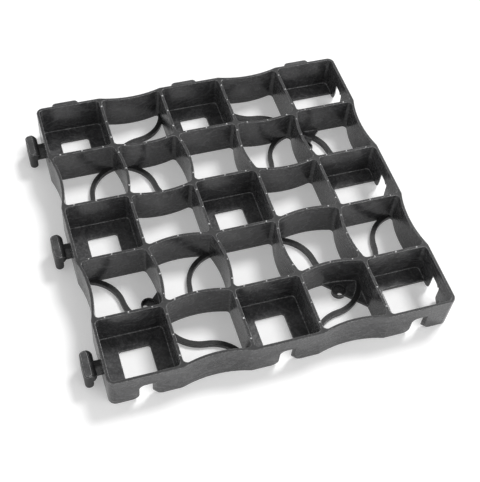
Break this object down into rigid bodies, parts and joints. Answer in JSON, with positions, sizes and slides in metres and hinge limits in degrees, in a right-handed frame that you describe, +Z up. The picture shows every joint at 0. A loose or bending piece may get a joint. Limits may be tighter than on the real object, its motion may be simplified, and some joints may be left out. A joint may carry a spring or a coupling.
{
  "type": "grass paver grid",
  "caption": "Flat square lattice of straight-walled and bow-walled cells in black plastic, with floor plates, S-shaped ribs, hooks along adjoining edges and slots in the opposite ones.",
  "frame": {"origin": "middle of the whole piece's box, hooks included, at ground level; the middle of the lattice itself is half a hook's reach to +X and to -Y of it", "axes": "+Z up, the piece lies flat; -Y towards the slotted front edge, +X towards the slotted right edge, hooks on the -X and +Y edges"},
  "size_m": [0.35, 0.35, 0.038],
  "materials": {
    "black_plastic": "satin, as moulded"
  },
  "bodies": {
    "root": {"paver_grid": "black_plastic"}
  },
  "joints": []
}
